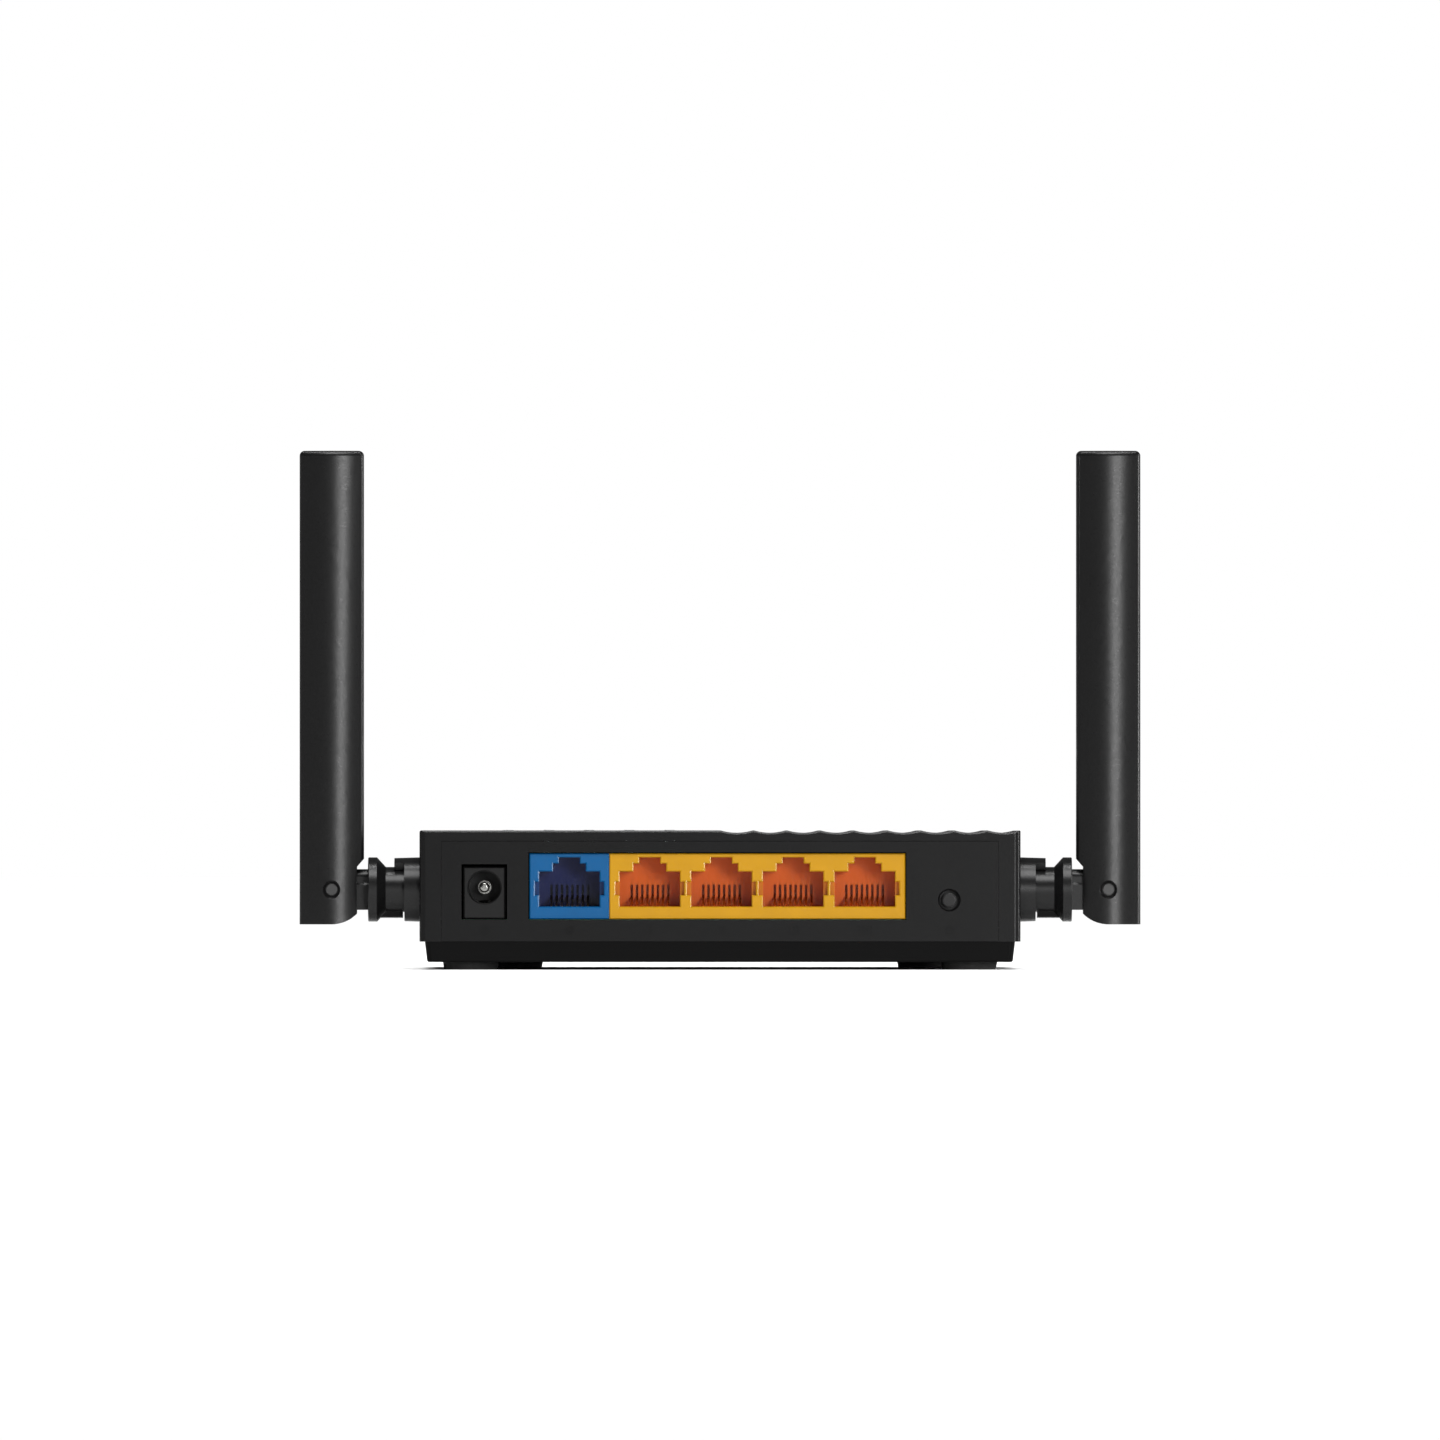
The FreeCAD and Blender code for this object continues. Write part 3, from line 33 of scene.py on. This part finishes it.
# ---------------------------------------------------------------- node helpers
class Shader:
    """A material under construction: its node tree, its principled shader and object coordinates."""

    def __init__(self, name):
        self.material = bpy.data.materials.new(name)
        self.material.use_nodes = True
        self.tree = self.material.node_tree
        self.tree.nodes.clear()
        self.output = self.tree.nodes.new("ShaderNodeOutputMaterial")
        self.bsdf = self.tree.nodes.new("ShaderNodeBsdfPrincipled")
        self.link(self.bsdf.outputs["BSDF"], self.output.inputs["Surface"])
        self.place = self.tree.nodes.new("ShaderNodeTexCoord").outputs["Object"]

    def link(self, source, target):
        self.tree.links.new(source, target)

    def node(self, kind, **values):
        """A new node; values with a matching property set it, and the others set inputs."""
        made = self.tree.nodes.new(kind)
        for key, value in values.items():
            if hasattr(made, key):
                setattr(made, key, value)
            else:
                self.feed(made.inputs[key], value)
        return made

    def feed(self, socket, value):
        if isinstance(value, bpy.types.NodeSocket):
            self.link(value, socket)
        else:
            socket.default_value = value

    def set(self, **values):
        for key, value in values.items():
            self.feed(self.bsdf.inputs[key.replace("_", " ")], value)

    def noise(self, feature_mm, detail=2.0, roughness=0.5, stretch=(1, 1, 1)):
        """Noise from 0 to 1 whose features are about so many millimetres wide."""
        scaled = self.node("ShaderNodeMapping", Vector=self.place)
        scaled.inputs["Scale"].default_value = [s / (feature_mm * MM) for s in stretch]
        made = self.node("ShaderNodeTexNoise", Vector=scaled.outputs[0], Scale=1.0)
        made.inputs["Detail"].default_value = detail
        made.inputs["Roughness"].default_value = roughness
        return made.outputs["Fac"]

    def remap(self, value, low, high, from_low=0.3, from_high=0.7):
        made = self.node("ShaderNodeMapRange", Value=value)
        made.inputs["From Min"].default_value = from_low
        made.inputs["From Max"].default_value = from_high
        made.inputs["To Min"].default_value = low
        made.inputs["To Max"].default_value = high
        return made.outputs[0]

    def mix(self, share, first, second):
        made = self.tree.nodes.new("ShaderNodeMix")
        made.data_type = "RGBA"
        self.feed(made.inputs["Factor"], share)
        for socket, value in ((made.inputs[6], first), (made.inputs[7], second)):
            self.feed(socket, value if isinstance(value, bpy.types.NodeSocket) else (*value, 1.0))
        return made.outputs[2]

    def coordinate(self, axis):
        split = self.node("ShaderNodeSeparateXYZ", Vector=self.place)
        return split.outputs[axis]

    def math(self, operation, a, b=0.0):
        made = self.tree.nodes.new("ShaderNodeMath")
        made.operation = operation
        self.feed(made.inputs[0], a)
        self.feed(made.inputs[1], b)
        return made.outputs[0]

    def bump(self, height, depth_mm):
        made = self.node("ShaderNodeBump", Height=height)
        made.inputs["Distance"].default_value = depth_mm * MM
        self.link(made.outputs[0], self.bsdf.inputs["Normal"])


def shade(color, factor):
    return tuple(c * factor for c in color)


# ---------------------------------------------------------------- materials
MOTTLE = 0.06
GLOSS_SPREAD = 0.03
BLOTCH_MM = 14.0


def moulded_plastic(name, color, roughness, grain_mm=0.35, grain_depth=0.012, specular=0.3):
    """Injection-moulded plastic: eroded grain, slight unevenness in tone and gloss."""
    s = Shader(name)
    grain = s.noise(grain_mm, 3.0, 0.6)
    broad = s.noise(BLOTCH_MM, 2.0)
    s.set(Base_Color=s.mix(s.remap(broad, 0, 1), shade(color, 1 - MOTTLE), shade(color, 1 + MOTTLE)))
    s.set(Roughness=s.remap(grain, roughness - GLOSS_SPREAD, roughness + GLOSS_SPREAD))
    s.set(Specular_IOR_Level=specular)
    s.bump(grain, grain_depth)
    return s.material


# Depths behind a socket's face over which the painted recess shade fades in and then darkens further.
FACE_END = 0.00025
DEEP_SHADE_START = 0.001
RECESS_SHADE_END = 0.0012
SOCKET_SPECULAR = 0.2


def socket_plastic(name, color, recess_shade_color, deep_shade_color, front, depth):
    """A glossy coloured socket block whose colour is painted darker with depth inside its openings, and
    redder in the yellow one: painted recess shade and painted light bounced between the walls.
    """
    s = Shader(name)
    y = s.coordinate("Y")
    inward = s.math("SUBTRACT", y, front)
    # Painted shade: the further a point lies inside an opening, the more the face colour gives way to the
    # recess shade colour and then to the deeper shade colour.
    recess_shade_share = s.remap(inward, 0, 1, FACE_END, RECESS_SHADE_END)
    deep_shade_share = s.remap(inward, 0, 1, DEEP_SHADE_START, depth)
    painted_recess_shade = s.mix(deep_shade_share, recess_shade_color, deep_shade_color)
    flow = s.noise(6.0, 2.0, 0.5)
    face = s.mix(s.remap(flow, 0, 1), shade(color, 0.96), shade(color, 1.04))
    s.set(Base_Color=s.mix(recess_shade_share, face, painted_recess_shade))
    fine = s.noise(0.6, 2.0)
    s.set(Roughness=s.remap(fine, 0.16, 0.22), Specular_IOR_Level=SOCKET_SPECULAR)
    s.bump(fine, 0.004)
    return s.material


def metal(name, color, roughness, streak=(1, 1, 1), streak_mm=0.3, depth=0.004):
    """Bare or plated metal with fine directional marks."""
    s = Shader(name)
    marks = s.noise(streak_mm, 3.0, 0.6, streak)
    s.set(Metallic=1.0, Base_Color=s.mix(s.remap(marks, 0, 1), shade(color, 0.9), color))
    s.set(Roughness=s.remap(marks, roughness - 0.05, roughness + 0.08))
    s.bump(marks, depth)
    return s.material


def rubber(name, color):
    s = Shader(name)
    grain = s.noise(0.25, 3.0, 0.7)
    dust = s.noise(2.5, 3.0, 0.6)
    s.set(Base_Color=s.mix(s.remap(dust, 0, 1, 0.45, 0.8), color, shade(color, 1.8)))
    s.set(Roughness=s.remap(grain, 0.75, 0.92))
    s.bump(grain, 0.02)
    return s.material


def board(name):
    """Solder mask over copper: faint lighter tracks and a slight sheen."""
    s = Shader(name)
    base, track = (0.012, 0.09, 0.035), (0.025, 0.16, 0.06)
    cells = s.node("ShaderNodeMapping", Vector=s.place)
    cells.inputs["Scale"].default_value = (420, 420, 420)
    lines = s.node("ShaderNodeTexBrick", Vector=cells.outputs[0])
    lines.inputs["Color1"].default_value = (0, 0, 0, 1)
    lines.inputs["Color2"].default_value = (0, 0, 0, 1)
    lines.inputs["Mortar"].default_value = (1, 1, 1, 1)
    lines.inputs["Mortar Size"].default_value = 0.06
    s.set(Base_Color=s.mix(lines.outputs["Fac"], base, track))
    s.set(Roughness=s.remap(s.noise(1.0), 0.25, 0.4))
    s.bump(lines.outputs["Fac"], 0.03)
    return s.material


def clear_plastic(name):
    s = Shader(name)
    haze = s.noise(0.8, 2.0)
    s.set(Base_Color=s.mix(s.remap(haze, 0, 1), (0.8, 0.83, 0.85), (0.9, 0.92, 0.93)))
    s.set(Roughness=s.remap(haze, 0.25, 0.4), Transmission_Weight=0.75, IOR=1.49)
    return s.material


def film(name):
    """A blank satin label."""
    s = Shader(name)
    fibre = s.noise(0.5, 3.0)
    s.set(Base_Color=s.mix(s.remap(fibre, 0, 1), (0.42, 0.42, 0.43), (0.5, 0.5, 0.5)))
    s.set(Roughness=s.remap(fibre, 0.4, 0.55))
    s.bump(fibre, 0.004)
    return s.material


jack_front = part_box("lan_jack_housing")[0].y
# Depth inside the sockets at which the painted recess shade reaches its darkest colour.
JACK_SHADE_DEPTH = 0.008
CHARCOAL = (0.0048, 0.0048, 0.0049)
NEAR_BLACK = (0.001, 0.001, 0.001)
JACK_BLACK = (0.004, 0.004, 0.004)
BUTTON_BLACK = (0.013, 0.013, 0.013)
ANTENNA_BLACK = (0.0035, 0.0035, 0.0036)
# The second and third colour of each socket are painted shade and painted bounce light inside its
# openings, not the plastic's own colour.
BLUE_FACE, BLUE_RECESS_SHADE, BLUE_DEEP_SHADE = (0.001, 0.056, 0.158), (0.006, 0.036, 0.13), (0.004, 0.009, 0.07)
YELLOW_FACE, ORANGE_RECESS_SHADE, ORANGE_DEEP_SHADE = (0.33, 0.165, 0.003), (0.44, 0.155, 0.006), (0.58, 0.105, 0.007)


def case_finish(name):
    return moulded_plastic(name, CHARCOAL, 0.24, grain_depth=0.002, specular=0.09)


slot_materials = {
    "case_plastic": case_finish("case_plastic_grain"),
    "base_plastic": moulded_plastic(
        "base_plastic_grain", NEAR_BLACK, 0.4, grain_depth=0.002, specular=0.05
    ),
    "panel_plastic": case_finish("panel_plastic_grain"),
    "label_film": film("label_film_satin"),
    "screw_steel": metal("screw_steel_zinc", (0.32, 0.32, 0.33), 0.38),
    "board_laminate": board("solder_mask"),
    "jack_black": moulded_plastic("jack_black_plastic", JACK_BLACK, 0.32, 0.6, 0.003, specular=0.12),
    "jack_blue": socket_plastic(
        "jack_blue_plastic", BLUE_FACE, BLUE_RECESS_SHADE, BLUE_DEEP_SHADE, jack_front, JACK_SHADE_DEPTH
    ),
    "jack_yellow": socket_plastic(
        "jack_yellow_plastic", YELLOW_FACE, ORANGE_RECESS_SHADE, ORANGE_DEEP_SHADE, jack_front, JACK_SHADE_DEPTH
    ),
    "contact_gold": metal("contact_gold_flash", (0.85, 0.6, 0.25), 0.25),
    "contact_nickel": metal("contact_nickel_plate", (0.2, 0.2, 0.19), 0.2),
    "button_plastic": moulded_plastic("button_plastic_grain", BUTTON_BLACK, 0.3, specular=0.1),
    "chip_epoxy": moulded_plastic("chip_epoxy_matt", (0.015, 0.015, 0.016), 0.6, 0.3, 0.015),
    "sink_aluminium": metal("sink_extruded_aluminium", (0.6, 0.6, 0.62), 0.35, (1, 0.05, 1)),
    "capacitor_sleeve": moulded_plastic("capacitor_shrink_sleeve", (0.01, 0.012, 0.02), 0.3, 1.0, 0.01),
    "shield_steel": metal("shield_tinned_steel", (0.55, 0.55, 0.54), 0.35, (0.1, 1, 1)),
    "led_resin": moulded_plastic("led_resin_body", (0.7, 0.7, 0.6), 0.3, 0.5, 0.003),
    "clear_plastic": clear_plastic("light_pipe_acrylic"),
    "foot_rubber": rubber("foot_rubber_matt", (0.012, 0.012, 0.012)),
    "antenna_plastic": moulded_plastic(
        "antenna_plastic_satin", ANTENNA_BLACK, 0.3, 0.4, 0.0008, specular=0.19
    ),
    "spring_steel": metal("spring_steel_blank", (0.45, 0.44, 0.43), 0.35),
    "hinge_pin_steel": metal("hinge_pin_blackened", (0.04, 0.04, 0.04), 0.4),
    "radiator_laminate": moulded_plastic("radiator_laminate_mask", (0.02, 0.12, 0.05), 0.35, 0.6, 0.01),
    "coax_sleeve": moulded_plastic("coax_sleeve_black", (0.012, 0.012, 0.012), 0.35, 0.5, 0.004),
}

slot_of = {row["node"]: row["material_slot"] for row in frame["record"]["subparts"]}
for name, piece in nodes.items():
    piece.data.materials.clear()
    piece.data.materials.append(slot_materials[slot_of[name]])


# ---------------------------------------------------------------- stage, light and camera
def area_light(name, place, target, width, height, power):
    data = bpy.data.lights.new(name, "AREA")
    data.shape = "RECTANGLE"
    data.size, data.size_y = width, height
    data.energy = power
    lamp = bpy.data.objects.new(name, data)
    bpy.context.scene.collection.objects.link(lamp)
    lamp.location = place
    lamp.rotation_euler = (Vector(target) - Vector(place)).to_track_quat("-Z", "Y").to_euler()
    lamp.visible_camera = False


def overhead_light(azimuth, elevation, spread, strength):
    """A broad, even light from far above."""
    data = bpy.data.lights.new("overhead_light", "SUN")
    data.energy = strength
    data.angle = math.radians(spread)
    lamp = bpy.data.objects.new("overhead_light", data)
    bpy.context.scene.collection.objects.link(lamp)
    lamp.rotation_euler = (-Vector(around(azimuth, elevation, 1.0))).to_track_quat("-Z", "Y").to_euler()


FLOOR_HALF = 12.0
FLOOR_WHITE = (0.9, 0.9, 0.9, 1.0)


def studio_floor():
    half = FLOOR_HALF
    mesh = bpy.data.meshes.new("studio_floor")
    corners = [(-half, -half, 0), (half, -half, 0), (half, half, 0), (-half, half, 0)]
    mesh.from_pydata(corners, [], [(0, 1, 2, 3)])
    floor = bpy.data.objects.new("studio_floor", mesh)
    bpy.context.scene.collection.objects.link(floor)
    s = Shader("studio_floor_white")
    s.set(Base_Color=FLOOR_WHITE, Roughness=0.9, Specular_IOR_Level=0.0)
    mesh.materials.append(s.material)


def background(tree, strength):
    made = tree.nodes.new("ShaderNodeBackground")
    made.inputs["Color"].default_value = (1, 1, 1, 1)
    made.inputs["Strength"].default_value = strength
    return made.outputs[0]


def studio_world(seen, reflected, ambient):
    """A white sweep to the camera, dim in reflections so that black plastic stays black."""
    world = bpy.data.worlds.new("studio_world")
    world.use_nodes = True
    tree = world.node_tree
    tree.nodes.clear()
    output = tree.nodes.new("ShaderNodeOutputWorld")
    path = tree.nodes.new("ShaderNodeLightPath")
    shown = background(tree, ambient)
    for ray, strength in (("Is Glossy Ray", reflected), ("Is Camera Ray", seen)):
        mix = tree.nodes.new("ShaderNodeMixShader")
        tree.links.new(path.outputs[ray], mix.inputs[0])
        tree.links.new(shown, mix.inputs[1])
        tree.links.new(background(tree, strength), mix.inputs[2])
        shown = mix.outputs[0]
    tree.links.new(shown, output.inputs["Surface"])
    bpy.context.scene.world = world


CAMERA_DISTANCE = 5.0
CAMERA_HEIGHT = 0.026
LENS = 641.25
SHIFT_UP = 0.0809


def studio_camera():
    """A long lens from far behind the router, almost level, raised in the frame by shift."""
    data = bpy.data.cameras.new("studio_camera")
    data.sensor_width = 36.0
    data.lens = LENS
    data.shift_y = SHIFT_UP
    data.clip_end = 60.0
    camera = bpy.data.objects.new("studio_camera", data)
    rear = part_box("top_cover")[0].y
    camera.location = (0.0, rear - CAMERA_DISTANCE, CAMERA_HEIGHT)
    camera.rotation_euler = (math.pi / 2, 0, 0)
    bpy.context.scene.collection.objects.link(camera)
    bpy.context.scene.camera = camera


def around(azimuth, elevation, distance):
    """A place seen from the router: azimuth 0 is behind it, where the camera is, and 90 its right."""
    a, e = math.radians(azimuth), math.radians(elevation)
    flat = distance * math.cos(e)
    return (flat * math.sin(a), -flat * math.cos(a), distance * math.sin(e))


studio_floor()
studio_world(seen=1.0, reflected=0.12, ambient=0.25)
studio_camera()
middle = (0.0, -0.05, 0.05)
overhead_light(azimuth=6, elevation=61, spread=30, strength=3.1)
area_light("key_panel", around(15.5, 6, 2.6), middle, 0.6, 0.52, 34.0)
area_light("side_strip", around(86, 10, 1.2), middle, 0.12, 0.6, 11.0)
area_light("top_strip", around(0, 88, 1.2), middle, 1.4, 0.06, 14.0)
bpy.context.scene.view_settings.view_transform = "Standard"
